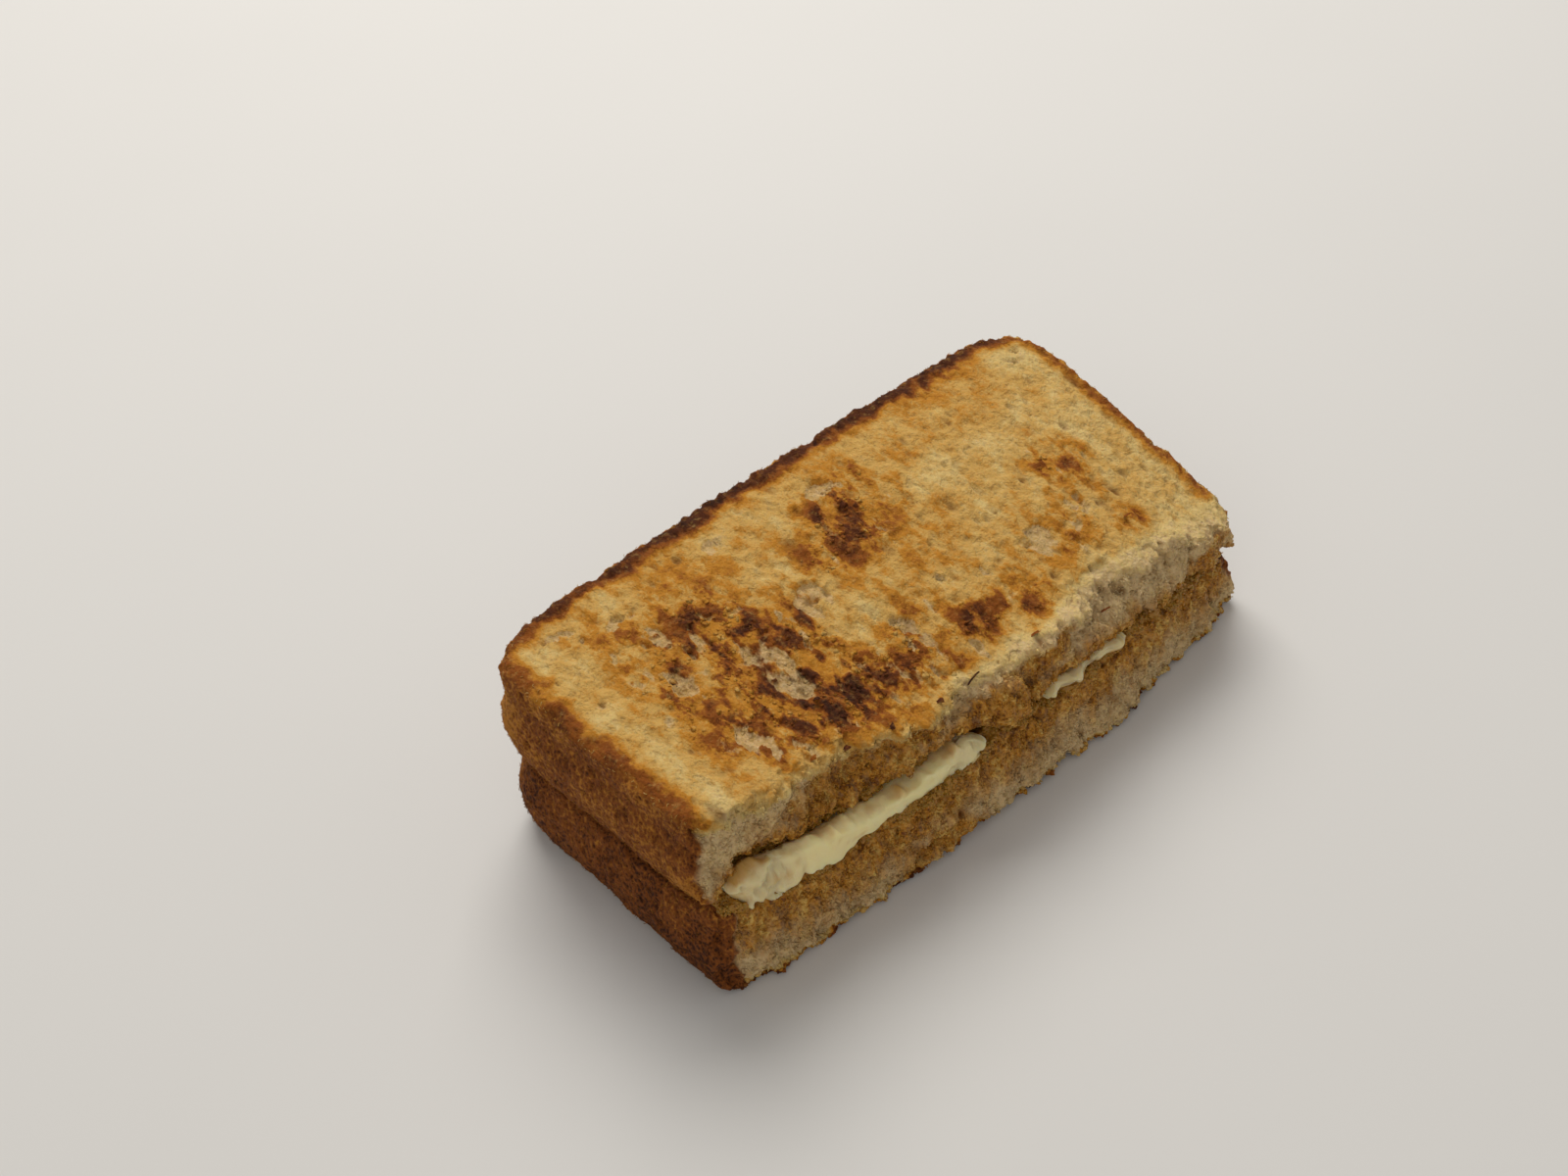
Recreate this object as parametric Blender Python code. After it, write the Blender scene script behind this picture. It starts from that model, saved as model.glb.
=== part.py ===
"""Half of a toasted kaya and butter sandwich, as it lies after one cut across the middle.

Two slices of white loaf hold a spread of kaya (coconut and egg jam) on each inner face and two
slabs of cold butter between the spreads. Crust runs round the back and both ends, and the front
is the cut. The knife has pressed both slices down towards the cut, most of all past the butter.

Frame: metres, +Z up. The origin is at the middle of the underside, +X runs along the cut
towards the low end, and +Y runs from the cut to the back crust.
"""

import math

import bmesh
import bpy
from mathutils import Vector, noise

MM = 0.001

# The half sandwich
LENGTH = 119.6 * MM  # along the cut, from crust end to crust end
DEPTH = 54.5 * MM  # from the cut to the back crust, at the low end
CORNER = 9 * MM  # radius of the loaf's two back corners
FOOT_BOW = 5.9 * MM  # the underside's cut edge swells past a straight line by this much
FOOT_BOW_AT = -3 * MM
FOOT_BOW_POWER = 3.1
BACK_BOW = 0.8 * MM

# Heights of the stack
BACK_HEIGHT = 35.8 * MM  # toasted face above the underside, along the back crust
BACK_CROWN = 0.9 * MM  # the back edge rises this much between its corners
CUT_HEIGHT = 27 * MM  # the same face along the cut, where the knife pressed it
HIGH_END_RISE = 8 * MM  # the crust at the -X end held its height
LOW_END_DROP = 6 * MM  # the crust at the +X end gave way
PRESS_POWER = 1.7  # the droop from back to cut, as a power of the way there
SEAM_BACK = 16.3 * MM  # the middle of the filling, along the back crust
SEAM_CUT = 16 * MM  # the same at the cut, where the long slab of butter lies
SEAM_MIDDLE_DROP = 1.8 * MM  # past the long slab
SEAM_LOW_DROP = 5 * MM  # further, at the +X end

# The filling
GAP = 0.4 * MM  # clear space between neighbouring pieces
KAYA = 0.9 * MM  # thickness of each spread
KAYA_INSET = 3 * MM  # the spreads stop short of the crust
KAYA_WAVE = 0.5 * MM  # their edge at the cut wanders by this much
CRUST_SEAM = 0.25 * MM  # half of the gap between the slices at the crust
BUTTER_THICK = 3.3 * MM
BUTTER_THIN = 2.2 * MM
BUTTER_END = 3 * MM  # half of the width over which a slab's end thins out
BUTTER_BACK = 6 * MM  # the same for its back, inside the sandwich

# How far each edge of the cut lies in from the foot of the cut
LOWER_TOP_EDGE = 1.6 * MM
BUTTER_FRONT = 1.4 * MM
UPPER_BOTTOM_EDGE = 5.3 * MM
UPPER_TOP_EDGE = 3.2 * MM
TORN_EDGE = 3.2 * MM  # the toasted edge is torn back by this much more, above the long slab
TORN_AT, TORN_WIDTH = -31 * MM, 11 * MM

# Surface forms
RIM = 0.7 * MM  # rounding where a face meets a wall
RIM_SHARE = 0.04  # the share of a wall's height that the rounding takes
CRUST_SWELL = 1.6 * MM  # the crust's middle stands out
CRUST_GROOVE = 0.9 * MM  # the groove under the upper slice's toasted rim
CUT_CRAGS = 0.8 * MM  # torn crumb on the cut
CRUST_CRAGS = 0.35 * MM
FACE_RELIEF = 0.35 * MM  # dips and rises of the toasted face
CRAG_SPACING = 3.4 * MM
FACE_SPACING = 9 * MM
WALL_HEIGHT = 20 * MM  # of each slice, roughly, for the relief on its walls
BUTTER_SWELL = 1.1 * MM  # the butter squeezed out at the cut
BUTTER_SIDE_SWELL = 0.8 * MM
BUTTER_WAVE = 0.8 * MM  # its front wanders by this much
BUTTER_WAVE_SPACING = 7 * MM
BUTTER_FULLNESS = 0.94  # the slab against the room left for it
BUTTER_LEAST = 0.1 * MM  # half of its thickness where it thins out

# Mesh density
COLUMNS = 38
SLICE_ROWS, SLICE_WALL = 16, 8
KAYA_ROWS, KAYA_WALL = 12, 1
BUTTER_ROWS, BUTTER_WALL = 7, 4
BUTTER_COLUMN = 2.6 * MM
ON_EDGE = 0.999  # past this a place on the grid is on its border
SHARP_ANGLE = math.radians(50)


def hump(value, centre, width):
    """A smooth bump of height 1."""
    return math.exp(-(((value - centre) / width) ** 2))


def ease(low, high, value):
    """0 below low, 1 above high, smooth between."""
    share = min(max((value - low) / (high - low), 0.0), 1.0)
    return share * share * (3 - 2 * share)


def blend(first, second, share):
    return first + (second - first) * share


def crags(x, y, z, spacing, seed):
    """Uneven relief from about -1 to 1."""
    point = Vector((x, y, z)) / spacing + Vector((seed, 2 * seed, 0))
    return noise.fractal(point, 0.8, 2.1, 3)


# The plan of the whole half


def foot_line(x):
    """The cut's foot: the front edge of the underside."""
    aside = abs(x - FOOT_BOW_AT) / (LENGTH / 2 - FOOT_BOW_AT)
    return -DEPTH / 2 - FOOT_BOW * (1 - aside**FOOT_BOW_POWER)


def back_line(x):
    return DEPTH / 2 + BACK_BOW * math.cos(math.pi * x / LENGTH)


def half_length(from_back):
    """Half of the length at this distance from the back, less where a corner rounds off."""
    into_corner = max(CORNER - from_back, 0.0)
    return LENGTH / 2 - CORNER + math.sqrt(CORNER**2 - into_corner**2)


def plan(u, v, inset=0.0, front=0.0):
    """The point of the plan for u along it and v from cut to back, both from -1 to 1."""
    from_front = (v + 1) / 2
    x = u * (half_length(DEPTH * (1 - from_front)) - inset)
    return x, blend(foot_line(x) + front, back_line(x) - inset, from_front)


def pressed(x, y):
    """How much of the knife's droop is reached here, 0 at the back and 1 at the cut."""
    way = (back_line(x) - y) / (back_line(x) - foot_line(x) - UPPER_TOP_EDGE)
    return min(max(way, 0.0), 1.05) ** PRESS_POWER


# The heights of the faces


def toasted_face(x, y):
    back = BACK_HEIGHT + BACK_CROWN * math.cos(math.pi * x / LENGTH)
    high_end = HIGH_END_RISE * hump(x, -LENGTH / 2, 30 * MM)
    low_end = LOW_END_DROP * hump(x, LENGTH / 2, 15 * MM)
    return blend(back, CUT_HEIGHT + high_end - low_end, pressed(x, y))


def seam(x, y):
    """The middle of the filling."""
    middle = SEAM_MIDDLE_DROP * ease(-16 * MM, 2 * MM, x)
    low_end = SEAM_LOW_DROP * ease(32 * MM, 62 * MM, x)
    high_end = 1.5 * MM * hump(x, -LENGTH / 2, 8 * MM)
    return blend(SEAM_BACK, SEAM_CUT - middle - low_end + high_end, pressed(x, y))


class Slab:
    """One slab of butter: its ends along the cut, its depth behind the cut and its thickness."""

    def __init__(self, start, end, depth, thickness):
        self.start, self.end, self.depth, self.thickness = start, end, depth, thickness

    def half_thickness(self, x, y, spare=0.0):
        """Half of the slab's thickness here. With spare it reaches that much further, as room for it."""
        from_cut = y - foot_line(x)
        along = ease(-BUTTER_END, BUTTER_END, min(x - self.start, self.end - x) + spare)
        return self.thickness / 2 * along * ease(-BUTTER_BACK, BUTTER_BACK, self.depth - from_cut + spare)


BUTTER = {
    "butter_long": Slab(-55 * MM, -7 * MM, 23 * MM, BUTTER_THICK),
    "butter_short": Slab(7 * MM, 26 * MM, 20 * MM, BUTTER_THIN),
}


def from_crust(x, y):
    """Distance in from the nearest crust."""
    back = back_line(x) - y
    return min(half_length(max(back, 0.0)) - abs(x), back)


def filling(x, y):
    """Half of the space between the two slices."""
    butter = max(slab.half_thickness(x, y, 2 * MM) for slab in BUTTER.values())
    spread = ease(0.5 * MM, KAYA_INSET, from_crust(x, y))
    return CRUST_SEAM + spread * (KAYA + 1.5 * GAP - CRUST_SEAM) + butter


def kaya_skin(x, y):
    """A spread's face on the bread's side, measured from the seam."""
    return filling(x, y) - GAP


# The walls


def rim(height):
    """How far a wall draws in at this share of its height, to round both its edges."""
    near_edge = max(1 - min(height, 1 - height) / RIM_SHARE, 0.0)
    return -RIM * near_edge


def upper_crust(height):
    swell = CRUST_SWELL * hump(height, 0.4, 0.25)
    return swell - CRUST_GROOVE * hump(height, 0.72, 0.09) + rim(height)


def lower_crust(height):
    return CRUST_SWELL * hump(height, 0.45, 0.35) - 1.2 * MM * height**3 + rim(height)


def upper_cut(x, height):
    """The upper slice's cut leans in towards the butter, and its toasted edge is torn back."""
    top_edge = UPPER_TOP_EDGE + TORN_EDGE * hump(x, TORN_AT, TORN_WIDTH)
    return blend(UPPER_BOTTOM_EDGE, top_edge, height**0.7) - rim(height)


def lower_cut(x, height):
    return LOWER_TOP_EDGE * height**0.8 - rim(height) / 2


def crust_direction(x, y):
    """Outwards, level, at the back and the ends."""
    core = Vector((min(max(x, CORNER - LENGTH / 2), LENGTH / 2 - CORNER), min(y, DEPTH / 2 - CORNER)))
    return (Vector((x, y)) - core).normalized()


# Making a piece


def closed_grid(columns, rows, wall):
    """A closed block of unit height over a square from -1 to 1, with wall rows of faces round it."""
    block = bmesh.new()
    bmesh.ops.create_grid(block, x_segments=columns, y_segments=rows, size=1)
    made = bmesh.ops.extrude_face_region(block, geom=block.faces[:], use_keep_orig=True)
    top = [item for item in made["geom"] if isinstance(item, bmesh.types.BMVert)]
    bmesh.ops.translate(block, verts=top, vec=(0, 0, 1))
    upright = [edge for edge in block.edges if abs(edge.verts[0].co.z - edge.verts[1].co.z) > 0.5]
    bmesh.ops.subdivide_edges(block, edges=upright, cuts=wall - 1, use_grid_fill=True)
    bmesh.ops.recalc_face_normals(block, faces=block.faces)
    return block


def piece(name, block, place, material):
    """Turns the block into the object: place gives each vertex its point. Rows crowd at the rims."""
    for vertex in block.verts:
        u, v, height = vertex.co
        vertex.co = place(u, v, 0.5 - 0.5 * math.cos(math.pi * height))
    bmesh.ops.triangulate(block, faces=block.faces)
    mesh = bpy.data.meshes.new(name)
    block.to_mesh(mesh)
    block.free()
    mesh.shade_smooth()
    mesh.set_sharp_from_angle(angle=SHARP_ANGLE)
    mesh.materials.append(material)
    made = bpy.data.objects.new(name, mesh)
    bpy.context.scene.collection.objects.link(made)
    return made


def slice_place(under, over, crust, cut, seed):
    """The placing rule of a slice, from its two faces and the profiles of its two kinds of wall."""

    def place(u, v, height):
        x, y = plan(u, v)
        y += cut(x, height) * (0.5 - 0.5 * v) ** 3
        rough = crags(x, y, WALL_HEIGHT * height, CRAG_SPACING, seed)
        if v < -ON_EDGE:
            y -= CUT_CRAGS * rough
        if v > ON_EDGE or abs(u) > ON_EDGE:
            out = crust_direction(x, y)
            x += out.x * (crust(height) + CRUST_CRAGS * rough)
            y += max(out.y, 0.0) * (crust(height) + CRUST_CRAGS * rough)
        return Vector((x, y, blend(under(x, y), over(x, y), height)))

    return place


def make_lower_slice(material):
    def under(x, y):
        return 0.0

    def over(x, y):
        return seam(x, y) - filling(x, y)

    block = closed_grid(COLUMNS, SLICE_ROWS, SLICE_WALL)
    return piece("lower_slice", block, slice_place(under, over, lower_crust, lower_cut, 11), material)


def make_upper_slice(material):
    def under(x, y):
        return seam(x, y) + filling(x, y)

    def over(x, y):
        return toasted_face(x, y) + FACE_RELIEF * crags(x, y, 0, FACE_SPACING, 31)

    block = closed_grid(COLUMNS, SLICE_ROWS, SLICE_WALL)
    return piece("upper_slice", block, slice_place(under, over, upper_crust, upper_cut, 23), material)


def make_kaya(name, side, front, material):
    """The spread on one slice. side is 1 for the upper slice and -1 for the lower."""

    def place(u, v, height):
        x, y = plan(u, v, KAYA_INSET, front)
        if v < -ON_EDGE:
            y += KAYA_WAVE * crags(x, y, 0, CRAG_SPACING, 41 + side)
        level = kaya_skin(x, y) - KAYA * (height if side < 0 else 1 - height)
        return Vector((x, y, seam(x, y) + side * level))

    block = closed_grid(COLUMNS, KAYA_ROWS, KAYA_WALL)
    return piece(name, block, place, material)


def make_butter(name, slab, seed, material):
    """A slab that lies behind the cut and stands a little proud of it, with soft uneven edges."""

    def place(u, v, height):
        x = blend(slab.start, slab.end, (u + 1) / 2)
        y = foot_line(x) + blend(BUTTER_FRONT, slab.depth, (v + 1) / 2)
        fullness = 4 * height * (1 - height)
        if v < -ON_EDGE:
            y -= BUTTER_SWELL * fullness + BUTTER_WAVE * crags(x, 0, 0, BUTTER_WAVE_SPACING, seed)
        if v > ON_EDGE:
            y += BUTTER_SIDE_SWELL * fullness
        if abs(u) > ON_EDGE:
            x += math.copysign(BUTTER_SIDE_SWELL * fullness, u)
        half = slab.half_thickness(x, y) * BUTTER_FULLNESS + BUTTER_LEAST
        return Vector((x, y, seam(x, y) + half * (2 * height - 1)))

    columns = round((slab.end - slab.start) / BUTTER_COLUMN)
    return piece(name, closed_grid(columns, BUTTER_ROWS, BUTTER_WALL), place, material)


def finish(name, colour, roughness):
    """A plain material of the piece's own colour, in linear light."""
    material = bpy.data.materials.new(name)
    material.use_nodes = True
    shader = material.node_tree.nodes["Principled BSDF"]
    shader.inputs["Base Color"].default_value = (*colour, 1)
    shader.inputs["Roughness"].default_value = roughness
    shader.inputs["Metallic"].default_value = 0.0
    return material


def clear_scene():
    for item in list(bpy.data.objects):
        bpy.data.objects.remove(item)


def main():
    clear_scene()
    bread = finish("toasted_bread", (0.50, 0.30, 0.10), 0.85)
    kaya = finish("kaya_jam", (0.36, 0.15, 0.02), 0.3)
    butter = finish("butter", (0.80, 0.70, 0.38), 0.35)
    make_lower_slice(bread)
    make_upper_slice(bread)
    make_kaya("lower_kaya", -1, LOWER_TOP_EDGE + 0.4 * MM, kaya)
    make_kaya("upper_kaya", 1, UPPER_BOTTOM_EDGE + 0.3 * MM, kaya)
    for number, (name, slab) in enumerate(BUTTER.items()):
        make_butter(name, slab, 61 + number, butter)


main()
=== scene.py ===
"""The looks of half a kaya and butter toast sandwich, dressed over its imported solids.

Two slices of toasted white bread, a spread of kaya on each inner face, two slabs of cold butter,
and the crumbs and flakes that a bread knife leaves. Shapes are worked out in millimetres and
written to the meshes in metres.
"""

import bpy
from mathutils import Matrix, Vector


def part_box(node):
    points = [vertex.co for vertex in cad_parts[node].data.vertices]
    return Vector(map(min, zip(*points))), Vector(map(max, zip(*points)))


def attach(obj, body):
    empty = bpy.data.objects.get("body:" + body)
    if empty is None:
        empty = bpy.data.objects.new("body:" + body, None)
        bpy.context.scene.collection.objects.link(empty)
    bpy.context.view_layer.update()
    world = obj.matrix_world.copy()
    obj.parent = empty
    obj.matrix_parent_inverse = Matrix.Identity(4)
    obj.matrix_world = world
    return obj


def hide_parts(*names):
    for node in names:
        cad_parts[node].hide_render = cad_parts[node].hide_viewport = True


bl_info = {
    "name": "Kaya Toast Half",
    "version": (1, 0, 0),
    "blender": (4, 5, 0),
    "location": "View3D > Sidebar > Kaya Toast",
    "description": "Dresses the solids of half a kaya and butter toast sandwich",
    "category": "Add Mesh",
}

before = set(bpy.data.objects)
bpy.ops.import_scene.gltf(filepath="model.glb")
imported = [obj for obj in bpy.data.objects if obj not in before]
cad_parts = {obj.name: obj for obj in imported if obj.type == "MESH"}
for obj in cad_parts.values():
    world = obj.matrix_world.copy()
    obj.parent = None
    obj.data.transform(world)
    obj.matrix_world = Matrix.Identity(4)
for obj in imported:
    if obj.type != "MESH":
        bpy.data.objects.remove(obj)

import itertools
import math

import bmesh
import bpy
import numpy as np
from mathutils import Matrix, Vector
from mathutils.bvhtree import BVHTree

BODY = "root"
MM = 0.001
JOINED = 1e-6  # vertices of a solid nearer than this, in metres, are one


def place_of(node):
    """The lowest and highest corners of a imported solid, in mm."""
    low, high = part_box(node)
    return np.array(low) / MM, np.array(high) / MM


LOWER_LOW, LOWER_HIGH = place_of("lower_slice")
CUT_FOOT = LOWER_LOW[1]  # the foremost place of the cut
BACK = LOWER_HIGH[1]  # the back crust


# Colours


def linear(code):
    """A colour in linear light from its sRGB hex value."""
    parts = [int(code[start : start + 2], 16) / 255 for start in (1, 3, 5)]
    return [part / 12.92 if part <= 0.04045 else ((part + 0.055) / 1.055) ** 2.4 for part in parts]


def opaque(colour):
    return (*colour, 1.0)


# Rules for uneven surfaces. Points are rows of x, y and z in millimetres. Every noise has a seed of
# its own, so that no two patterns line up.


def ease(low, high, value):
    """0 at low, 1 at high, smooth between. low may be above high."""
    share = np.clip((value - low) / (high - low), 0, 1)
    return share * share * (3 - 2 * share)


def hump(value, middle, width):
    """1 at the middle, falling smoothly to nothing over about twice the width."""
    return np.exp(-(((value - middle) / width) ** 2))


def scramble(seed, *whole):
    """The same number from 0 to 1 each time for each row of whole numbers."""
    mixed = np.full(whole[0].shape, seed * 2654435761 % 2**32, np.uint32)
    for number in whole:
        mixed ^= (number.astype(np.int64) & 0xFFFFFFFF).astype(np.uint32)
        mixed *= np.uint32(0x9E3779B1)
        mixed ^= mixed >> np.uint32(15)
        mixed *= np.uint32(0x85EBCA77)
        mixed ^= mixed >> np.uint32(13)
    return mixed / 2**32


def lumps(points, size, seed):
    """Smooth noise from -1 to 1, in lumps about size across. size may differ along x, y and z."""
    scaled = points / size
    cell = np.floor(scaled)
    part = scaled - cell
    fade = part * part * part * (part * (part * 6 - 15) + 10)
    total = 0
    for corner in itertools.product((0, 1), repeat=3):
        share = np.prod(np.where(corner, fade, 1 - fade), axis=1)
        total = total + share * scramble(seed, *(cell + corner).T)
    return 2 * total - 1


def rough(points, size, seed, octaves=3):
    """Noise from about -1 to 1 with finer lumps on its lumps."""
    total = sum(
        lumps(points, np.asarray(size) / 2**octave, seed + octave) / 2**octave
        for octave in range(octaves)
    )
    return total * 1.4 / (2 - 2 ** (1 - octaves))


def drift(points, size, seed, reach):
    """The points, each moved up to about reach by smooth noise of its own in x, y and z."""
    moves = [lumps(points, size, seed + axis) for axis in range(3)]
    return points + reach * np.stack(moves, axis=1)


def bubbles(points, spacing, seed, largest, common=2.0):
    """How far inside a bubble each point lies: 0 outside, up to 1 in the middle of a largest one.

    largest is a radius as a share of the spacing, and a higher common makes large bubbles rarer.
    """
    scaled = points / spacing
    home = np.floor(scaled)
    inside = np.zeros(len(points))
    for step in itertools.product((-1, 0, 1), repeat=3):
        cell = home + step
        middle = cell + np.stack([scramble(seed + axis, *cell.T) for axis in range(3)], axis=1)
        radius = largest * (0.15 + 0.85 * scramble(seed + 3, *cell.T) ** common)
        away = ((scaled - middle) ** 2).sum(axis=1) / radius**2
        inside = np.maximum(inside, (1 - away) * radius / largest)
    return inside


# Meshes


def points_of(mesh):
    flat = np.empty(len(mesh.vertices) * 3)
    mesh.vertices.foreach_get("co", flat)
    return flat.reshape(-1, 3) / MM


def move_points(mesh, points):
    mesh.vertices.foreach_set("co", (points * MM).ravel())
    mesh.update()


def edges_of(mesh):
    flat = np.empty(len(mesh.edges) * 2, np.int32)
    mesh.edges.foreach_get("vertices", flat)
    return flat.reshape(-1, 2)


def normals_of(mesh):
    flat = np.empty(len(mesh.vertices) * 3, np.float32)
    mesh.vertex_normals.foreach_get("vector", flat)
    return flat.reshape(-1, 3).astype(float)


def averaged(values, edges, rounds, share=1.0):
    """Each vertex's value drawn towards its neighbours' mean."""
    count = np.bincount(edges.ravel(), minlength=len(values))[:, None].clip(1)
    for _ in range(rounds):
        total = np.empty_like(values)
        for axis in range(values.shape[1]):
            column = values[:, axis]
            total[:, axis] = np.bincount(edges[:, 0], column[edges[:, 1]], len(values))
            total[:, axis] += np.bincount(edges[:, 1], column[edges[:, 0]], len(values))
        values = values + share * (total / count - values)
    return values


def soft_normals(mesh, rounds):
    normals = averaged(normals_of(mesh), edges_of(mesh), rounds)
    return normals / np.linalg.norm(normals, axis=1, keepdims=True).clip(1e-9)


def store(mesh, name, values):
    """Keeps a number for each vertex, for the materials and for Geometry Nodes."""
    layer = mesh.attributes.new(name, "FLOAT", "POINT")
    layer.data.foreach_set("value", np.ascontiguousarray(values, np.float32))


def merged_copy(node):
    """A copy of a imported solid's mesh with its loose triangles joined."""
    source = bmesh.new()
    source.from_mesh(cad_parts[node].data)
    bmesh.ops.remove_doubles(source, verts=source.verts, dist=JOINED)
    mesh = bpy.data.meshes.new(node + "_source")
    source.to_mesh(mesh)
    source.free()
    return mesh


def new_object(name, mesh):
    made = bpy.data.objects.new(name, mesh)
    bpy.context.scene.collection.objects.link(made)
    return made


def applied(made):
    """Turns the object's modifiers into its plain mesh."""
    graph = bpy.context.evaluated_depsgraph_get()
    mesh = bpy.data.meshes.new_from_object(made.evaluated_get(graph))
    made.modifiers.clear()
    made.data = mesh
    mesh.name = made.name
    return made


def remeshed(name, source, voxel):
    """A new object over the source's shape, with even faces of about voxel metres."""
    made = new_object(name, source)
    remesh = made.modifiers.new("Even faces", "REMESH")
    remesh.mode = "VOXEL"
    remesh.voxel_size = voxel
    return applied(made)


def refined(mesh, wanted, cuts):
    """Cuts the edges of the faces that wanted(centre, normal) picks."""
    fine = bmesh.new()
    fine.from_mesh(mesh)
    fine.normal_update()
    faces = [face for face in fine.faces if wanted(face.calc_center_median() / MM, face.normal)]
    edges = list({edge for face in faces for edge in face.edges})
    bmesh.ops.subdivide_edges(fine, edges=edges, cuts=cuts, use_grid_fill=True)
    fine.to_mesh(mesh)
    fine.free()


def gap_to(points, mesh, picked):
    """Each point's distance to the faces of the mesh that picked(centre, normal) takes, in mm."""
    corners = [vertex.co / MM for vertex in mesh.vertices]
    faces = [tuple(f.vertices) for f in mesh.polygons if picked(f.center / MM, f.normal)]
    tree = BVHTree.FromPolygons(corners, faces)
    return np.array([tree.find_nearest(point)[3] for point in map(Vector, points)])


def finish_piece(made, nodes, material, smooth=True):
    """Gives a piece its material and body, and hides the solids that it stands for."""
    made.data.materials.clear()
    made.data.materials.append(material)
    if smooth:
        made.data.shade_smooth()
    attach(made, BODY)
    if nodes:
        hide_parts(*nodes)


# Where the faces of the solids lie, by their normals and centres
LEVEL = 0.6  # a face whose normal rises or falls by more is a toasted or an inner face
FORWARDS = 0.45  # the cut's faces look forwards by more
STEEP = 0.8  # and up or down by less
CUT_REACH = 14  # and lie this near to the foot of the cut, in mm
FILLING_FORWARDS = {"kaya": 0.6, "butter": 0.5}  # the same for the ends of the filling


def at_cut(centre, normal):
    return normal.y < -FORWARDS and abs(normal.z) < STEEP and centre.y < CUT_FOOT + CUT_REACH


def facing_up(centre, normal):
    return normal.z > LEVEL


def facing_down(centre, normal):
    return normal.z < -LEVEL


def at_crust(centre, normal):
    return abs(normal.z) <= LEVEL and not at_cut(centre, normal)


# Materials


def add(tree, kind, settings=None, inputs=None):
    """Adds a node with its settings, and fills its inputs, by name or place, with values or links."""
    node = tree.nodes.new(kind)
    for name, value in (settings or {}).items():
        setattr(node, name, value)
    for key, value in (inputs or {}).items():
        if isinstance(value, bpy.types.NodeSocket):
            tree.links.new(value, node.inputs[key])
        else:
            node.inputs[key].default_value = value
    return node


def new_material(name):
    """A material with no nodes yet, its tree, and the place on the piece that patterns follow."""
    material = bpy.data.materials.new(name)
    material.use_nodes = True
    tree = material.node_tree
    tree.nodes.clear()
    return material, tree, add(tree, "ShaderNodeTexCoord").outputs["Object"]


# Patterns in the bread: name, kind of texture, size of a lump in mm, stretch along x, y and z, and
# the texture's own values. The first five are noise and the last two are packed bubbles, which run
# from 0 in the middle of a bubble to their highest on its walls.
BREAD_PATTERNS = (
    ("fine", "ShaderNodeTexNoise", 0.8, (1, 1.4, 1), {"Detail": 5.0, "Roughness": 0.68}),
    ("finest", "ShaderNodeTexNoise", 0.35, (1, 1, 1), {"Detail": 3.0, "Roughness": 0.6}),
    ("fibrous", "ShaderNodeTexNoise", 1.1, (1, 1, 3.0), {"Detail": 4.0, "Roughness": 0.6}),
    ("flaking", "ShaderNodeTexNoise", 3.0, (1, 1.9, 1), {"Detail": 6.0, "Roughness": 0.56}),
    ("streaks", "ShaderNodeTexNoise", 2.6, (1, 1, 2.4), {"Detail": 3.0, "Roughness": 0.6}),
    ("bubbled", "ShaderNodeTexVoronoi", 1.15, (1, 1.35, 1.2), {}),
    ("froth", "ShaderNodeTexVoronoi", 0.55, (1, 1.2, 1.3), {}),
)

# Sums worked out from the patterns and the stored numbers, in order. Each row gives the name of its
# result, the operation and what it is done to. A result may take the place of a number it is made from.
BREAD_SUMS = (
    # how hollow: the pores in the mesh, and finer ones, which darken the colour below as painted shade
    # on pore floors
    ("pores", "MULTIPLY_ADD", "bubbled", -1.7, 0.62),
    ("hollow", "MAXIMUM", "hollow", "pores"),
    ("pores", "MULTIPLY_ADD", "froth", -1.5, 0.5),
    ("hollow", "MAXIMUM", "hollow", "pores"),
    # how browned: the flakes that stand up scorch first
    ("catching", "MULTIPLY_ADD", "flakes", 0.6, 0.5),
    ("scorch", "MULTIPLY", "scorch", "catching"),
    ("level", "MULTIPLY_ADD", "flakes", 0.05, "browning"),
    ("level", "ADD", "scorch", "level"),
    ("speckle", "MULTIPLY_ADD", "finest", 0.3, -0.45),
    ("speckle", "MULTIPLY_ADD", "fine", 0.6, "speckle"),
    ("contrast", "MULTIPLY_ADD", "level", 0.25, 0.36),
    ("brown", "MULTIPLY_ADD", "speckle", "contrast", "level"),
    ("brown", "MULTIPLY_ADD", "hollow", -0.1, "brown"),
    # where the toasted skin is torn off
    ("bare", "ADD", "bare", 0.8),
    ("bare", "MULTIPLY_ADD", "flaking", -1.6, "bare"),
    # how dark the crust is: its own tone, lighter on the walls of fine pores and darker in their middles
    # as painted highlights and shade
    ("skin", "MULTIPLY_ADD", "froth", -0.8, "fine"),
    ("skin", "MULTIPLY_ADD", "baked", 0.75, "skin"),
    # how wet the crumb is, and how light the wet crumb is: streaks of its own, and lighter on the walls
    # of fine pores and darker in their middles as painted highlights and shade
    ("wet", "SUBTRACT", "fibrous", 0.5),
    ("wet", "MULTIPLY_ADD", "wet", 1.2, "soaked"),
    ("sodden", "MULTIPLY_ADD", "froth", 0.35, -1.27),
    ("sodden", "MULTIPLY_ADD", "streaks", 1.3, "sodden"),
    ("sodden", "MULTIPLY_ADD", "fibrous", 0.9, "sodden"),
    ("sodden", "ADD", "fine", "sodden"),
    # the fine relief
    ("relief", "MULTIPLY", "finest", 0.4),
    ("relief", "MULTIPLY_ADD", "flakes", 0.3, "relief"),
    ("relief", "MULTIPLY_ADD", "fine", 0.9, "relief"),
    ("relief", "MULTIPLY_ADD", "froth", 0.4, "relief"),
    ("relief", "MULTIPLY_ADD", "bubbled", 0.6, "relief"),
)

# The bubbles' places wander by up to this much, in mm, in lumps of this size, so that no bubble is
# a plain round cell.
BUBBLE_WANDER = 1.4
BUBBLE_WANDER_SIZE = 1.5


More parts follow.
